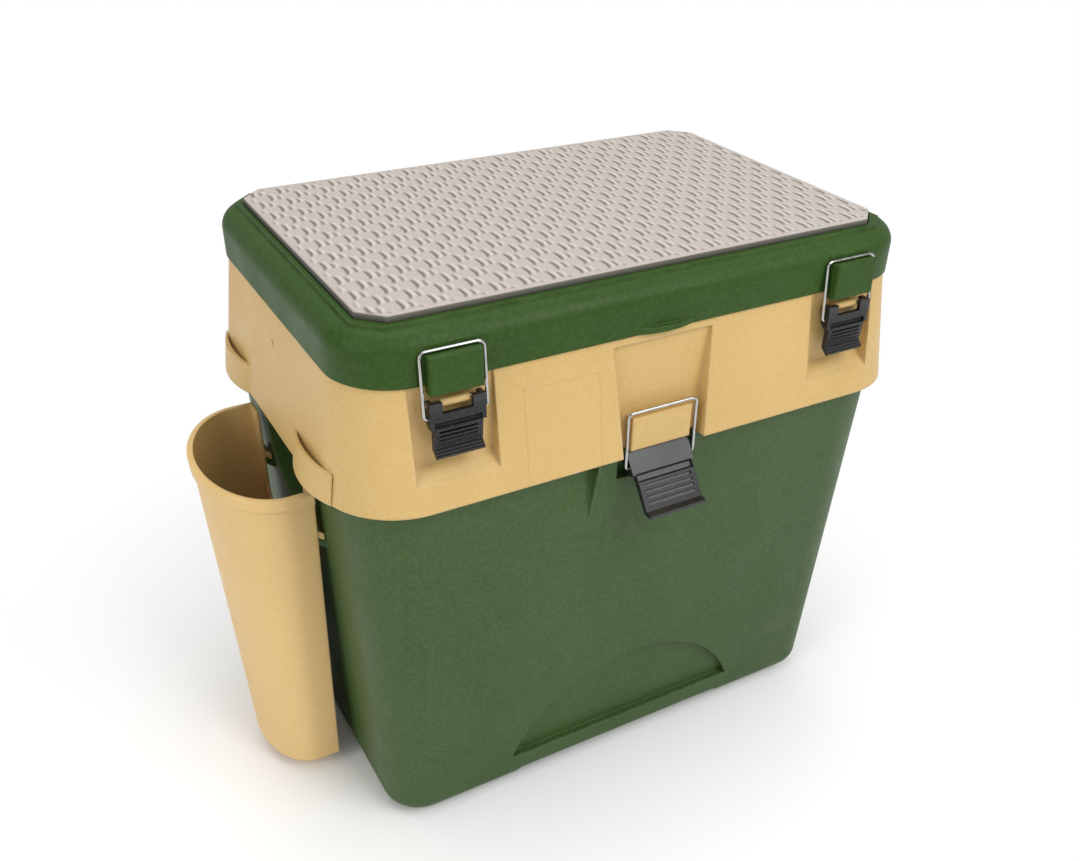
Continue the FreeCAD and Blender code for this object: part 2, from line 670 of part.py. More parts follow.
# Boss behind the wire: it squares off the lid's rounded shoulder above a catch
def catch_boss(x):
    low = LID_TOP_Z - LID_ROUND
    head = SIDE_CATCH_FOOT + SIDE_CATCH_HEIGHT + BOSS_RISE
    back = FRONT_Y + LID_ROUND
    points = [(FRONT_Y, low), (FRONT_Y, head), (back, LID_TOP_Z), (back, low)]
    half = SIDE_CATCH_WIDTH / 2
    return prism_yz(points, x - half, x + half)


def lid():
    plan = (LENGTH, DEPTH, CORNER_RADIUS)
    outer = frustum(plan + (SEAM_Z,), plan + (LID_TOP_Z,))
    outer = outer.makeFillet(LID_ROUND, horizontal_edges(outer, LID_TOP_Z))
    platform = octagon(PAD_INSET - PLATFORM_MARGIN, PAD_CHAMFER, LID_TOP_Z - 1)
    platform = platform.extrude(vec(0, 0, 1 + PLATFORM_RISE))
    recess = octagon(PAD_INSET - PAD_CLEARANCE, PAD_CHAMFER, PAD_Z).extrude(vec(0, 0, PAD_RECESS + 1))
    inner = (LENGTH - 2 * LID_WALL, DEPTH - 2 * LID_WALL, CORNER_RADIUS - LID_WALL)
    ceiling = LID_TOP_Z - LID_WALL
    cavity = frustum(inner + (SEAM_Z,), inner + (ceiling,))
    cavity = cavity.makeFillet(LID_ROUND - LID_WALL, horizontal_edges(cavity, ceiling))
    body = join(outer, [platform]).cut(recess).cut(cavity)
    # Ribs under the seat, clear of the tray's tongue and partitions
    ribs = []
    inset = LID_WALL + LID_ROUND
    span_x = LENGTH / 2 - inset
    span_y = DEPTH / 2 - inset
    foot_z = ceiling - RIB_HEIGHT
    for i in range(RIBS_ALONG):
        y = span_y * (2 * (i + 1) / (RIBS_ALONG + 1) - 1)
        ribs.append(block(-span_x, span_x, y - RIB_THICKNESS / 2, y + RIB_THICKNESS / 2, foot_z, ceiling + 1))
    for i in range(RIBS_ACROSS):
        x = span_x * (2 * (i + 1) / (RIBS_ACROSS + 1) - 1)
        ribs.append(block(x - RIB_THICKNESS / 2, x + RIB_THICKNESS / 2, -span_y, span_y, foot_z, ceiling + 1))
    parts = ribs + [thumb_lip()]
    for side in (-1, 1):
        parts.append(catch_boss(side * SIDE_LATCH_X))
        parts.append(catch_block(side * SIDE_LATCH_X, FRONT_Y, SIDE_CATCH_FOOT, SIDE_CATCH_WIDTH,
                                 SIDE_CATCH_HEIGHT, 0))
    parts += moving_knuckles(HINGE_Y, SEAM_Z, DEPTH / 2 - 1)
    return cut_all(join(body, parts), hinge_bores(HINGE_Y, SEAM_Z))


def seat_pad():
    pad = octagon(PAD_INSET, PAD_CHAMFER, PAD_Z).extrude(vec(0, 0, PAD_THICKNESS))
    return pad.makeFillet(EDGE_ROUND, horizontal_edges(pad, PAD_Z + PAD_THICKNESS))


# Pocket outline: a straight back, short straight sides and a half ellipse in front
def pocket_outline(width, reach, z, grow):
    half = width / 2 + grow
    bend = POCKET_BACK_X - POCKET_FLAT
    near = vec(POCKET_BACK_X, POCKET_CENTRE_Y - half, z)
    far = vec(POCKET_BACK_X, POCKET_CENTRE_Y + half, z)
    low = vec(bend, POCKET_CENTRE_Y - half, z)
    high = vec(bend, POCKET_CENTRE_Y + half, z)
    nose = vec(bend - (reach - POCKET_FLAT) - grow, POCKET_CENTRE_Y, z)
    curve = Part.Ellipse(high, nose, vec(bend, POCKET_CENTRE_Y, z)).toShape(0, math.pi)
    return Part.Wire([Part.makeLine(near, far), Part.makeLine(far, high), curve, Part.makeLine(low, near)])


def pocket_size(z):
    share = (z - POCKET_FLOOR_Z) / POCKET_HEIGHT
    width = POCKET_FOOT_WIDTH + (POCKET_WIDTH - POCKET_FOOT_WIDTH) * share
    reach = POCKET_FOOT_REACH + (POCKET_REACH - POCKET_FOOT_REACH) * share
    return width, reach


def pocket_solid(low, high, grow):
    wires = [pocket_outline(*pocket_size(z), z, grow) for z in (low, high)]
    return Part.makeLoft(wires, True, True)


def side_pocket():
    outer = pocket_solid(POCKET_FLOOR_Z, POCKET_TOP_Z, -POCKET_RIM)
    bend = POCKET_BACK_X - POCKET_FLAT - 1
    nose = [e for e in horizontal_edges(outer, POCKET_FLOOR_Z) if e.BoundBox.XMin < bend]
    outer = outer.makeFillet(POCKET_FLOOR_ROUND, nose)
    band = pocket_solid(POCKET_TOP_Z - POCKET_RIM_HEIGHT, POCKET_TOP_Z, 0)
    rim = [e for e in horizontal_edges(band, POCKET_TOP_Z) if e.Length > HOOK_WIDTH]
    band = band.makeFillet(POCKET_RIM_ROUND, rim)
    inner = pocket_solid(POCKET_FLOOR_Z + THIN_WALL, POCKET_TOP_Z, -POCKET_RIM - THIN_WALL)
    inner = inner.common(block(-LENGTH, POCKET_BACK_X - THIN_WALL, -DEPTH, DEPTH, 0, POCKET_TOP_Z))
    body = join(outer, [band]).cut(inner)
    half = POCKET_CUT_WIDTH / 2
    low, high = POCKET_CENTRE_Y - half, POCKET_CENTRE_Y + half
    foot_z = POCKET_TOP_Z - POCKET_CUT_DEPTH
    opening = block(POCKET_BACK_X - THIN_WALL - 1, POCKET_BACK_X + 1, low, high, foot_z, POCKET_TOP_Z + 1)
    corners = [e for e in horizontal_edges(opening, foot_z) if e.BoundBox.YLength < 1]
    opening = opening.makeFillet(POCKET_CUT_ROUND, corners)
    return join(body.cut(opening), [pocket_hook(y) for y in hook_offsets()])


# Latch sets: side latches are closed, the centre one rests half open as in use
def side_latch(side):
    x = side * SIDE_LATCH_X
    return (lever(x, FRONT_Y, SIDE_CATCH_FOOT, SIDE_CATCH_WIDTH, SIDE_LEVER_LENGTH, True),
            bail(x, FRONT_Y, SIDE_CATCH_FOOT, SIDE_CATCH_WIDTH, SIDE_CATCH_HEIGHT),
            latch_pin(x, FRONT_Y, SIDE_CATCH_FOOT, SIDE_CATCH_WIDTH))


def centre_latch():
    arm = lever(0, CENTRE_WALL_Y, CENTRE_CATCH_FOOT, CENTRE_CATCH_WIDTH, CENTRE_LEVER_LENGTH, False)
    wire = bail(0, CENTRE_WALL_Y, CENTRE_CATCH_FOOT, CENTRE_CATCH_WIDTH, CENTRE_CATCH_HEIGHT)
    pin = latch_pin(0, CENTRE_WALL_Y, CENTRE_CATCH_FOOT, CENTRE_CATCH_WIDTH)
    pivot = latch_pivot(CENTRE_WALL_Y, CENTRE_CATCH_FOOT)
    crank = crank_point(CENTRE_WALL_Y, CENTRE_CATCH_FOOT)
    wire = swing_out(wire, *crank, -BAIL_RATIO * CENTRE_REST_ANGLE)
    return swing_out(arm, *pivot, CENTRE_REST_ANGLE), swing_out(wire, *pivot, CENTRE_REST_ANGLE), pin


def build():
    parts = {"lower_box": lower_box(), "upper_tray": upper_tray(), "lid": lid(), "seat_pad": seat_pad(),
             "side_pocket": side_pocket()}
    for name, side in (("left", -1), ("right", 1)):
        arm, wire, pin = side_latch(side)
        parts[name + "_latch_lever"] = arm
        parts[name + "_latch_bail"] = wire
        parts[name + "_latch_pin"] = pin
        parts["lid_hinge_pin_" + name] = hinge_pin(side, HINGE_Y, SEAM_Z)
        parts["tray_hinge_pin_" + name] = hinge_pin(side, TRAY_HINGE_Y, TRAY_FOOT_Z)
        parts["foot_front_" + name] = foot(side, -1)
        parts["foot_rear_" + name] = foot(side, 1)
    arm, wire, pin = centre_latch()
    parts["centre_latch_lever"] = arm
    parts["centre_latch_bail"] = wire
    parts["centre_latch_pin"] = pin
    return parts


parts = build()
whole = Part.makeCompound(list(parts.values())).optimalBoundingBox()
shift = vec(-whole.Center.x, -whole.Center.y, 0)

os.makedirs("parts", exist_ok=True)
for name, shape in parts.items():
    shape.translate(shift)
    shape.exportStep("parts/" + name + ".step")
    print(name, "solids", len(shape.Solids), "valid", shape.isValid(), "volume", round(shape.Volume))
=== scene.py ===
import math
import bpy
import bmesh
from mathutils import Matrix, Vector


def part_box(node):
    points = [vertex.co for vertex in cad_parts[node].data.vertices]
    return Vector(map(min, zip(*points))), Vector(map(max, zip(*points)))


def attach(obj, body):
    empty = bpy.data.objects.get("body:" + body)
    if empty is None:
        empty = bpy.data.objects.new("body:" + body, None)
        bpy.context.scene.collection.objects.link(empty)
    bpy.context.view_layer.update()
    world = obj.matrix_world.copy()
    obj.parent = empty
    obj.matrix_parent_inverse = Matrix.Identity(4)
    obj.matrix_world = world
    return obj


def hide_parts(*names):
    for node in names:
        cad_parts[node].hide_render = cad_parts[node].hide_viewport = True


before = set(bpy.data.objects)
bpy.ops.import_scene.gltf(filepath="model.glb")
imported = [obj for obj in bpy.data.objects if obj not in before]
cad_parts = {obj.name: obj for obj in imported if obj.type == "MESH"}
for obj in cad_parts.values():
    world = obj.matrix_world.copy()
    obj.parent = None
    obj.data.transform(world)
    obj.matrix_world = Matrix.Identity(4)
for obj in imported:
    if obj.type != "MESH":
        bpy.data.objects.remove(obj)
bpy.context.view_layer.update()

# Lower box: a deep tub moulded in one shot of green polypropylene. Its skin has the fine spark grain
# of the mould, slow shade changes where the melt flowed, and paler rubbed edges.

# Waves in a metre of each shade and relief of a moulded skin, and the depth of its slow sag
FLOW_WAVES = 9.0
SPECK_WAVES = 420.0
RUB_WAVES = 60.0
SHEEN_WAVES = 26.0
GRAIN_WAVES = 950.0
SAG_WAVES = 14.0
SAG_DEPTH = 0.0006

# How strongly the pale colour shows in the specks and on the rubbed edges, and how much wider than
# an edge's own rounding its rubbed band is
SPECK_SHARE = 0.10
RUB_SHARE = 0.55
RUB_REACH = 1.4

# How far the roughness wanders below and above its middle
SMOOTHER = 0.05
ROUGHER = 0.07


# The finish of one material: its shader, and the textures and reliefs laid on it. Lengths are in
# metres of the piece itself
class Finish:
    def __init__(self, name):
        self.material = bpy.data.materials.new(name)
        self.material.use_nodes = True
        self.tree = self.material.node_tree
        self.shader = self.tree.nodes["Principled BSDF"]
        place = self.tree.nodes.new("ShaderNodeTexCoord")
        self.place = place.outputs["Object"]

    def link(self, source, target):
        self.tree.links.new(source, target)

    def put(self, value, socket):
        if isinstance(value, bpy.types.NodeSocket):
            self.link(value, socket)
        else:
            socket.default_value = value

    def noise(self, waves, detail=3.0, rough=0.55, stretch=(1, 1, 1)):
        turn = self.tree.nodes.new("ShaderNodeMapping")
        turn.inputs["Scale"].default_value = stretch
        self.link(self.place, turn.inputs["Vector"])
        node = self.tree.nodes.new("ShaderNodeTexNoise")
        node.inputs["Scale"].default_value = waves
        node.inputs["Detail"].default_value = detail
        node.inputs["Roughness"].default_value = rough
        self.link(turn.outputs["Vector"], node.inputs["Vector"])
        return node.outputs["Fac"]

    # What lies between low and high is stretched to the whole range, or to the two last limits
    def spread(self, value, low, high, to_low=0.0, to_high=1.0):
        node = self.tree.nodes.new("ShaderNodeMapRange")
        self.put(value, node.inputs["Value"])
        limits = {"From Min": low, "From Max": high, "To Min": to_low, "To Max": to_high}
        for label, number in limits.items():
            node.inputs[label].default_value = number
        return node.outputs["Result"]

    def work_out(self, kind, first, second=0.0):
        node = self.tree.nodes.new("ShaderNodeMath")
        node.operation = kind
        self.put(first, node.inputs[0])
        self.put(second, node.inputs[1])
        return node.outputs[0]

    def times(self, first, second):
        return self.work_out("MULTIPLY", first, second)

    def mix(self, amount, first, second):
        node = self.tree.nodes.new("ShaderNodeMix")
        node.data_type = "RGBA"
        self.put(amount, node.inputs["Factor"])
        self.put(first, node.inputs["A"])
        self.put(second, node.inputs["B"])
        return node.outputs["Result"]

    def soft_edge(self, radius):
        node = self.tree.nodes.new("ShaderNodeBevel")
        node.samples = 6
        node.inputs["Radius"].default_value = radius
        return node.outputs["Normal"]

    # 1 on an edge, where the rounded skin leans away from the plain face, and 0 on the flat
    def on_edge(self, radius, low=0.02, high=0.25):
        plain = self.tree.nodes.new("ShaderNodeNewGeometry")
        dot = self.tree.nodes.new("ShaderNodeVectorMath")
        dot.operation = "DOT_PRODUCT"
        self.link(self.soft_edge(radius), dot.inputs[0])
        self.link(plain.outputs["Normal"], dot.inputs[1])
        return self.spread(self.work_out("SUBTRACT", 1.0, dot.outputs["Value"]), low, high)

    def bump(self, height, distance, strength=1.0, under=None):
        node = self.tree.nodes.new("ShaderNodeBump")
        node.inputs["Distance"].default_value = distance
        node.inputs["Strength"].default_value = strength
        self.link(height, node.inputs["Height"])
        if under is not None:
            self.link(under, node.inputs["Normal"])
        return node.outputs["Normal"]

    def cover(self, base, rough, relief):
        for label, source in (("Base Color", base), ("Roughness", rough), ("Normal", relief)):
            self.link(source, self.shader.inputs[label])
        return self.material


# A plastic or rubber skin. marks, where given, adds a piece's own marks to its colour and relief
def moulded(name, colour, pale, deep, rough, edge_radius,
            grain=0.00005, specular=0.5, ior=1.5, marks=None):
    finish = Finish(name)
    flow = finish.spread(finish.noise(FLOW_WAVES, 2.0, 0.5, (1, 1, 0.5)), 0.35, 0.65)
    specks = finish.spread(finish.noise(SPECK_WAVES, 2.0), 0.42, 0.62)
    patches = finish.spread(finish.noise(RUB_WAVES), 0.35, 0.7)
    rubbed = finish.times(finish.on_edge(edge_radius * RUB_REACH), patches)
    base = finish.mix(flow, colour, deep)
    base = finish.mix(finish.times(specks, SPECK_SHARE), base, pale)
    base = finish.mix(finish.times(rubbed, RUB_SHARE), base, pale)
    smears = finish.noise(SHEEN_WAVES, 4.0, 0.6)
    sheen = finish.spread(smears, 0.3, 0.7, rough - SMOOTHER, rough + ROUGHER)
    relief = finish.bump(finish.noise(GRAIN_WAVES, 3.0, 0.6), grain, 0.7, finish.soft_edge(edge_radius))
    relief = finish.bump(finish.noise(SAG_WAVES, 1.0), SAG_DEPTH, 0.25, relief)
    if marks:
        base, relief = marks(finish, base, relief)
    finish.shader.inputs["Specular IOR Level"].default_value = specular
    finish.shader.inputs["IOR"].default_value = ior
    return finish.cover(base, sheen, relief)


def paint(names, material):
    for name in names:
        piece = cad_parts[name]
        if not piece.material_slots:
            piece.data.materials.append(material)
        for slot in piece.material_slots:
            slot.material = material


box_green = moulded(
    "box green",
    colour=(0.036, 0.078, 0.014, 1),
    pale=(0.15, 0.21, 0.10, 1),
    deep=(0.031, 0.070, 0.012, 1),
    rough=0.50,
    edge_radius=0.0014,
    ior=1.4,
)
paint(["lower_box"], box_green)

# Feet: four round pads of dark rubber, moulded whole and pressed onto the base under the corners.
# They are dull and a little dusty.

foot_rubber = moulded(
    "foot rubber",
    colour=(0.028, 0.029, 0.027, 1),
    pale=(0.12, 0.115, 0.10, 1),
    deep=(0.02, 0.02, 0.02, 1),
    rough=0.72,
    edge_radius=0.0008,
)
paint(["foot_" + end + side for end in ("front", "rear") for side in ("_left", "_right")], foot_rubber)

# Upper tray: a flared tray of tan polypropylene that sits on the rim of the tub and turns on two
# pinned hinges. It carries the side latches, the catch of the middle latch and four strap loops.

# On the front, beside the left latch, the mould leaves the fine raised outline of a plain panel.
# Its middle and half size are given across and up, and only the skin in front of PANEL_FRONT has it
PANEL_MIDDLE = (-0.0447, 0.290)
PANEL_HALF = (0.0237, 0.030)
PANEL_LINE = 0.0006
PANEL_RISE = 0.0003
PANEL_FRONT = -0.10


def axes(finish):
    node = finish.tree.nodes.new("ShaderNodeSeparateXYZ")
    finish.link(finish.place, node.inputs[0])
    return node.outputs


# How far a value lies outside a band that reaches half to each side of the middle
def outside(finish, value, middle, half):
    apart = finish.work_out("ABSOLUTE", finish.work_out("SUBTRACT", value, middle))
    return finish.work_out("SUBTRACT", apart, half)


def panel_outline(finish, base, relief):
    at = axes(finish)
    beside = outside(finish, at["X"], PANEL_MIDDLE[0], PANEL_HALF[0])
    above = outside(finish, at["Z"], PANEL_MIDDLE[1], PANEL_HALF[1])
    apart = finish.work_out("ABSOLUTE", finish.work_out("MAXIMUM", beside, above))
    line = finish.spread(apart, 0.0, PANEL_LINE, 1.0, 0.0)
    in_front = finish.work_out("LESS_THAN", at["Y"], PANEL_FRONT)
    return base, finish.bump(finish.times(line, in_front), PANEL_RISE, 0.8, relief)


tan_plastic = moulded(
    "tan plastic",
    colour=(0.61, 0.41, 0.150, 1),
    pale=(0.80, 0.64, 0.40, 1),
    deep=(0.565, 0.373, 0.130, 1),
    rough=0.42,
    edge_radius=0.0018,
    specular=0.35,
    marks=panel_outline,
)
paint(["upper_tray"], tan_plastic)

# Side pocket: a half-round bin of a slightly paler tan polypropylene that hangs on two slanted hooks.
# It is open at the top and cut low at the back, where the hand reaches the grip of the tub.

pocket_tan = moulded(
    "pocket tan",
    colour=(0.72, 0.49, 0.20, 1),
    pale=(0.85, 0.69, 0.45, 1),
    deep=(0.67, 0.45, 0.178, 1),
    rough=0.44,
    edge_radius=0.0016,
    specular=0.35,
)
paint(["side_pocket"], pocket_tan)

# Lid: a shallow cap moulded in a fuller green, with a rolled rim and a raised eight-sided platform
# that carries the pad. It turns on two pinned hinges at the back of the tray.

lid_green = moulded(
    "lid green",
    colour=(0.028, 0.070, 0.0085, 1),
    pale=(0.11, 0.19, 0.06, 1),
    deep=(0.024, 0.062, 0.007, 1),
    rough=0.44,
    edge_radius=0.0016,
    specular=0.4,
    ior=1.3,
)
paint(["lid"], lid_green)

# Seat pad: a sheet of closed-cell foam let into the platform. Its face is embossed with staggered
# rows of bowed strokes, each with a shorter one beside it. Its side is cut clean and darkened with
# painted shade.

# The cut corners, the rounding of the upper edge, and the plain margin before the strokes begin,
# which fades into them over its own width again
PAD_CHAMFER = 0.013
PAD_ROUNDING = 0.0009
PAD_MARGIN = 0.002

# How far apart the strokes stand, and where the shorter one lies and how long it is beside the first
PAD_ALONG = 0.0174
PAD_ACROSS = 0.0110
SECOND_PLACE = (0.0052, -0.0016)
SECOND_SHARE = 0.62

# Half a stroke's length and half its width, its depth, its bow and hook, and the ridge of foam that
# swells up beside it
STROKE_HALF_LENGTH = 0.0068
STROKE_HALF_WIDTH = 0.0013
STROKE_DEPTH = 0.0006
STROKE_BOW = 0.0012
STROKE_HOOK = 0.0009
RIDGE_RISE = 0.0003
RIDGE_PLACE = STROKE_HALF_WIDTH * 1.5

# How much of a shorter stroke's lost size is also lost in width and in depth
NARROWING = 0.45
SHALLOWING = 0.4

# The face is cut into coarse squares, and each of those again into four by four. Heights closer
# together than SAME_HEIGHT are one
COARSE_STEP = 0.0036
FINE_CUTS = 3
SAME_HEIGHT = 1e-5

low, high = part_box("seat_pad")
middle = (low + high) / 2
pad = bmesh.new()
ring = []
for sx, sy in ((1, -1), (1, 1), (-1, 1), (-1, -1)):
    x = high.x if sx > 0 else low.x
    y = high.y if sy > 0 else low.y
    beside = Vector((x, y - sy * PAD_CHAMFER, low.z))
    along = Vector((x - sx * PAD_CHAMFER, y, low.z))
    ring += [along, beside] if sx * sy < 0 else [beside, along]
floor_face = pad.faces.new([pad.verts.new(point) for point in ring])
raised = bmesh.ops.extrude_face_region(pad, geom=[floor_face])
lifted = [item for item in raised["geom"] if isinstance(item, bmesh.types.BMVert)]
bmesh.ops.translate(pad, vec=(0, 0, high.z - low.z - RIDGE_RISE), verts=lifted)
top_z = max(vert.co.z for vert in pad.verts)


def on_top(vert):
    return vert.co.z > top_z - SAME_HEIGHT


def top_edges():
    return [edge for edge in pad.edges if all(on_top(vert) for vert in edge.verts)]


bmesh.ops.bevel(pad, geom=top_edges(), offset=PAD_ROUNDING, segments=2, profile=0.5, affect="EDGES",
                material=-1)
for axis in (0, 1):
    across = Vector((0, 0, 0))
    across[axis] = 1
    for i in range(1, int((high[axis] - low[axis]) / COARSE_STEP)):
        place = across * (low[axis] + COARSE_STEP * i)
        bmesh.ops.bisect_plane(pad, geom=pad.verts[:] + pad.edges[:] + pad.faces[:], plane_co=place,
                               plane_no=across)
bmesh.ops.subdivide_edges(pad, edges=top_edges(), cuts=FINE_CUTS, use_grid_fill=True)


# How deep a place lies in a stroke that runs along y and bows towards +x: 1 on its line, 0 outside.
# slip moves the line sideways
def stroke(x, y, size, slip):
    along = y / (STROKE_HALF_LENGTH * size)
    if abs(along) >= 1:
        return 0.0
    bow = STROKE_BOW * size * (1 - along * along) + STROKE_HOOK * size * along ** 3
    across = (x - bow - slip) / (STROKE_HALF_WIDTH * (1 - NARROWING + NARROWING * size))
    if abs(across) >= 1:
        return 0.0
    return (1 - across * across) * (1 - along ** 4) * (1 - SHALLOWING + SHALLOWING * size)


# dark sets how deep a groove sinks and how much painted shade it gets; light sets how far a ridge rises
# and how much painted highlight it gets
def emboss(x, y):
    dark = 0.0
    light = 0.0
    row = math.floor(y / PAD_ACROSS)
    for r in (row - 1, row, row + 1, row + 2):
        shift = 0.5 * PAD_ALONG if r % 2 else 0.0
        column = math.floor((x - shift) / PAD_ALONG)
        for c in (column - 1, column, column + 1):
            u = x - shift - c * PAD_ALONG
            v = y - r * PAD_ACROSS
            for (dx, dy), size in (((0.0, 0.0), 1.0), (SECOND_PLACE, SECOND_SHARE)):
                dark = max(dark, stroke(u - dx, v - dy, size, 0.0))
                light = max(light, stroke(u - dx, v - dy, size, RIDGE_PLACE))
    return dark, light


# The stroke layer holds the painted shade in the grooves of the strokes
stroke_painted_shade_layer = pad.verts.layers.float.new("stroke")
# The ridge layer holds the painted highlight along the ridges beside the strokes
ridge_painted_highlight_layer = pad.verts.layers.float.new("ridge")
# The side layer marks the cut side, which gets painted shade
side_painted_shade_layer = pad.verts.layers.float.new("side")
for vert in pad.verts:
    if vert.co.z < top_z - PAD_ROUNDING / 2:
        vert[side_painted_shade_layer] = 1.0
    if on_top(vert):
        x = vert.co.x - middle.x
        y = vert.co.y - middle.y
        reach = min(high.x - middle.x - abs(x), high.y - middle.y - abs(y))
        fade = min(1.0, max(0.0, (reach - PAD_MARGIN) / PAD_MARGIN))
        dark, light = emboss(x, y)
        vert[stroke_painted_shade_layer] = dark * fade
        vert[ridge_painted_highlight_layer] = light * fade
        vert.co.z += fade * (RIDGE_RISE * light - STROKE_DEPTH * dark)
bmesh.ops.recalc_face_normals(pad, faces=pad.faces[:])
for face in pad.faces:
    face.smooth = True
pad_mesh = bpy.data.meshes.new("seat_pad_foam")
pad.to_mesh(pad_mesh)
pad.free()
pad_piece = bpy.data.objects.new("seat_pad_foam", pad_mesh)
bpy.context.collection.objects.link(pad_piece)


# Waves in a metre of the foam's clouds, cells, sheen and grain, with the roughness of its sheen
CLOUD_WAVES = 22.0
CELL_WAVES = 900.0
FOAM_SHEEN_WAVES = 70.0
FOAM_GRAIN_WAVES = 1300.0
FOAM_GRAIN_DEPTH = 0.00012
FOAM_ROUGHNESS = (0.70, 0.84)

# How strongly the clouds, the dust in the cells, the painted highlight on the crests and the painted
# shade on the cut side show their colour
CLOUD_SHARE = 0.55
DUST_SHARE = 0.16
CREST_HIGHLIGHT_SHARE = 0.55
CUT_SIDE_SHADE_SHARE = 0.85


# The foam's colour wanders towards pink in clouds and its cells hold dust. The layers of the mesh lay
# painted shade in the strokes, painted highlight on the ridges beside them and painted shade on the cut
# side
def foam(name, colour, pink, dust, shade, crest_painted_highlight, cut_side_painted_shade):
    finish = Finish(name)

    def layer(label):
        node = finish.tree.nodes.new("ShaderNodeAttribute")
        node.attribute_name = label
        return node.outputs["Fac"]

    clouds = finish.spread(finish.noise(CLOUD_WAVES, 3.0, 0.6), 0.40, 0.62)
    cells = finish.spread(finish.noise(CELL_WAVES, 2.0), 0.40, 0.66)
    base = finish.mix(finish.times(clouds, CLOUD_SHARE), colour, pink)
    base = finish.mix(finish.times(cells, DUST_SHARE), base, dust)
    # Painted highlight along the ridges beside the strokes
    base = finish.mix(finish.times(layer("ridge"), CREST_HIGHLIGHT_SHARE), base, crest_painted_highlight)
    # Painted shade in the grooves of the strokes
    base = finish.mix(layer("stroke"), base, shade)
    # Painted shade on the cut side
    base = finish.mix(finish.times(layer("side"), CUT_SIDE_SHADE_SHARE), base, cut_side_painted_shade)
    sheen = finish.spread(finish.noise(FOAM_SHEEN_WAVES), 0.3, 0.7, *FOAM_ROUGHNESS)
    grain = finish.bump(finish.noise(FOAM_GRAIN_WAVES, 3.0, 0.65), FOAM_GRAIN_DEPTH, 0.8)
    finish.shader.inputs["Specular IOR Level"].default_value = 0.3
    return finish.cover(base, sheen, grain)


pad_foam = foam(
    "pad foam",
    colour=(0.47, 0.425, 0.378, 1),
    pink=(0.48, 0.415, 0.405, 1),
    dust=(0.30, 0.27, 0.24, 1),
    shade=(0.13, 0.115, 0.10, 1),
    crest_painted_highlight=(0.74, 0.70, 0.64, 1),
    cut_side_painted_shade=(0.085, 0.085, 0.065, 1),
)
pad_mesh.materials.append(pad_foam)
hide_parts("seat_pad")
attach(pad_piece, "lid")

# Latch levers: three stiff levers moulded in black nylon, slightly glossy where fingers polish them.
# The grip of the two side ones is finely cross-hatched between its slots, with painted highlight on the
# raised points.

# The hatch fades out upwards between two heights
HATCH_PITCH = 0.0026
HATCH_FULL = 0.3225
HATCH_END = 0.3245
HATCH_DEPTH = 0.0006
HATCH_PAINTED_HIGHLIGHT = (0.12, 0.12, 0.125, 1)


def hatch(finish, base, relief):
    at = axes(finish)
    rows = []
    for lean in (1.0, -1.0):
        slant = finish.work_out("ADD", at["X"], finish.times(at["Z"], lean))
        rows.append(finish.work_out("SINE", finish.times(slant, 2 * math.pi / HATCH_PITCH)))
    grip = finish.spread(at["Z"], HATCH_END, HATCH_FULL)
    points = finish.times(finish.times(rows[0], rows[1]), grip)
    # The raised points of the hatch get a paler colour as a painted highlight
    base = finish.mix(finish.spread(points, 0.3, 0.9, 0.0, 0.6), base, HATCH_PAINTED_HIGHLIGHT)
    return base, finish.bump(points, HATCH_DEPTH, 1.0, relief)


def nylon(name, marks=None):
    return moulded(
        name,
        colour=(0.010, 0.010, 0.011, 1),
        pale=(0.07, 0.07, 0.075, 1),
        deep=(0.007, 0.007, 0.008, 1),
        rough=0.30,
        edge_radius=0.0006,
        grain=0.00003,
        marks=marks,
    )


paint(["centre_latch_lever"], nylon("lever black"))
paint(["left_latch_lever", "right_latch_lever"], nylon("lever black hatched", hatch))

# Wires and pins: three bails bent from round steel wire, and the straight pins on which the levers
# and hinges turn. All are zinc plated and bright, with fine draw lines.

# Waves in a metre of the plating's tone, sheen and draw lines, which are long and shallow
TONE_WAVES = 120.0
PLATE_SHEEN_WAVES = 300.0
PLATE_ROUGHNESS = (0.14, 0.30)
DRAW_WAVES = 700.0
DRAW_STRETCH = (1, 1, 0.05)
DRAW_DEPTH = 0.00003


def plated(name, bright, dull):
    finish = Finish(name)
    finish.shader.inputs["Metallic"].default_value = 1.0
    base = finish.mix(finish.spread(finish.noise(TONE_WAVES), 0.3, 0.7), bright, dull)
    sheen = finish.spread(finish.noise(PLATE_SHEEN_WAVES), 0.3, 0.7, *PLATE_ROUGHNESS)
    draw = finish.bump(finish.noise(DRAW_WAVES, 2.0, 0.5, DRAW_STRETCH), DRAW_DEPTH, 0.5)
    return finish.cover(base, sheen, draw)


steel_wire = plated("steel wire", bright=(0.50, 0.50, 0.48, 1), dull=(0.38, 0.38, 0.38, 1))
paint([place + "_latch_" + kind for place in ("left", "right", "centre") for kind in ("bail", "pin")],
      steel_wire)
paint([hinge + "_hinge_pin_" + side for hinge in ("lid", "tray") for side in ("left", "right")],
      steel_wire)

# Setting: a white sweep of floor, an even sky and three broad soft lamps, as for a catalogue. The
# camera stands in front to the left, and looks down over the lid.

FLOOR_HALF = 6.0

# Nearer than the first distance to the middle of the box the floor is lit and takes its shadow, and
# from the second on the camera sees plain white
SHADOW_REACH = 0.22
WHITE_REACH = 0.45

SKY_STRENGTH = 0.50
WHITE = (1, 1, 1, 1)
FLOOR_WHITE = (0.97, 0.97, 0.97, 1)


# Where share is 1 the plain light gives way to the white
def lay_over(tree, share, plain, white, output):
    blend = tree.nodes.new("ShaderNodeMixShader")
    tree.links.new(share, blend.inputs["Fac"])
    tree.links.new(plain, blend.inputs[1])
    tree.links.new(white, blend.inputs[2])
    tree.links.new(blend.outputs["Shader"], tree.nodes[output].inputs["Surface"])


def seen_by_camera(tree):
    return tree.nodes.new("ShaderNodeLightPath").outputs["Is Camera Ray"]


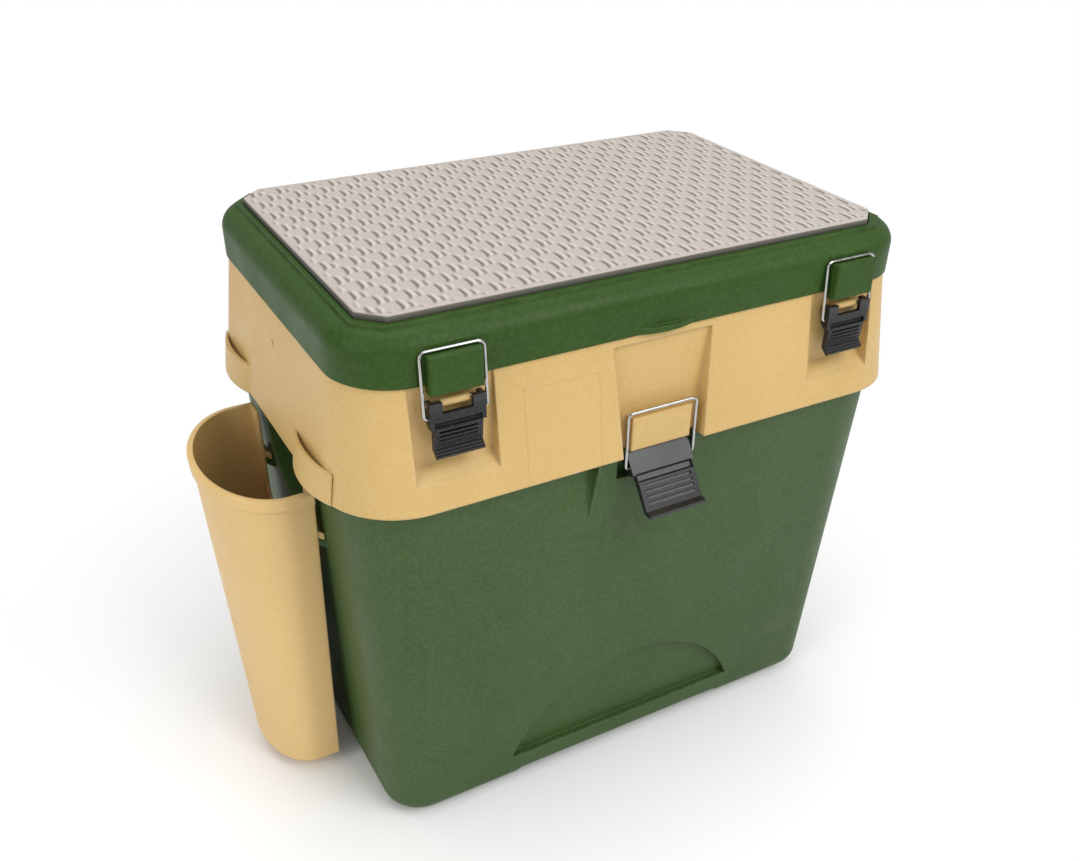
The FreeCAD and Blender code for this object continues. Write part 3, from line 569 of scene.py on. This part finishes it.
floor = bmesh.new()
bmesh.ops.create_grid(floor, x_segments=2, y_segments=2, size=FLOOR_HALF)
floor_mesh = bpy.data.meshes.new("floor")
floor.to_mesh(floor_mesh)
floor.free()
floor_piece = bpy.data.objects.new("floor", floor_mesh)
bpy.context.collection.objects.link(floor_piece)

ground = Finish("studio white")
ground.shader.inputs["Base Color"].default_value = FLOOR_WHITE
ground.shader.inputs["Roughness"].default_value = 0.9
ground.shader.inputs["Specular IOR Level"].default_value = 0.0
at = axes(ground)
squares = [ground.work_out("POWER", at[label], 2.0) for label in "XY"]
apart = ground.work_out("SQRT", ground.work_out("ADD", squares[0], squares[1]))
far = ground.times(ground.spread(apart, SHADOW_REACH, WHITE_REACH), seen_by_camera(ground.tree))
glow = ground.tree.nodes.new("ShaderNodeEmission")
lay_over(ground.tree, far, ground.shader.outputs["BSDF"], glow.outputs["Emission"], "Material Output")
floor_mesh.materials.append(ground.material)

world = bpy.data.worlds.new("studio")
world.use_nodes = True
bpy.context.scene.world = world
air = world.node_tree
sky = air.nodes["Background"]
sky.inputs["Color"].default_value = WHITE
sky.inputs["Strength"].default_value = SKY_STRENGTH
backdrop = air.nodes.new("ShaderNodeBackground")
backdrop.inputs["Color"].default_value = WHITE
lay_over(air, seen_by_camera(air), sky.outputs["Background"], backdrop.outputs["Background"],
         "World Output")


def lamp(name, place, aim, size, watts):
    light = bpy.data.lights.new(name, "AREA")
    light.shape = "RECTANGLE"
    light.size, light.size_y = size
    light.energy = watts
    holder = bpy.data.objects.new(name, light)
    holder.location = place
    holder.rotation_euler = (Vector(aim) - Vector(place)).to_track_quat("-Z", "Y").to_euler()
    bpy.context.collection.objects.link(holder)


lamp("key lamp", place=(0.7, -1.5, 1.7), aim=(0, 0, 0.15), size=(1.4, 1.2), watts=26)
lamp("fill lamp", place=(-1.8, -0.6, 1.1), aim=(0, 0, 0.2), size=(1.0, 1.4), watts=11)
lamp("top lamp", place=(0.0, 0.3, 2.0), aim=(0, 0, 0.2), size=(1.6, 1.4), watts=14)

# The lens, its shift and the way it faces are those that put the box's corners where they are seen
EYE = (-0.31186, -0.56978, 0.59447)
FACING = (0.4129, 0.7186, -0.5595)
UPRIGHT = (0.260, 0.4958, 0.8286)
camera = bpy.data.cameras.new("camera")
camera.sensor_width = 36.0
camera.lens = 36.04
camera.shift_x = -0.005
camera.shift_y = 0.064
camera.clip_start = 0.01
view = bpy.data.objects.new("camera", camera)
forward = Vector(FACING).normalized()
right = forward.cross(Vector(UPRIGHT)).normalized()
up = right.cross(forward)
turn = Matrix((right, up, -forward)).transposed()
view.matrix_world = Matrix.Translation(EYE) @ turn.to_4x4()
bpy.context.collection.objects.link(view)
bpy.context.scene.camera = view
bpy.context.scene.view_settings.view_transform = "Standard"
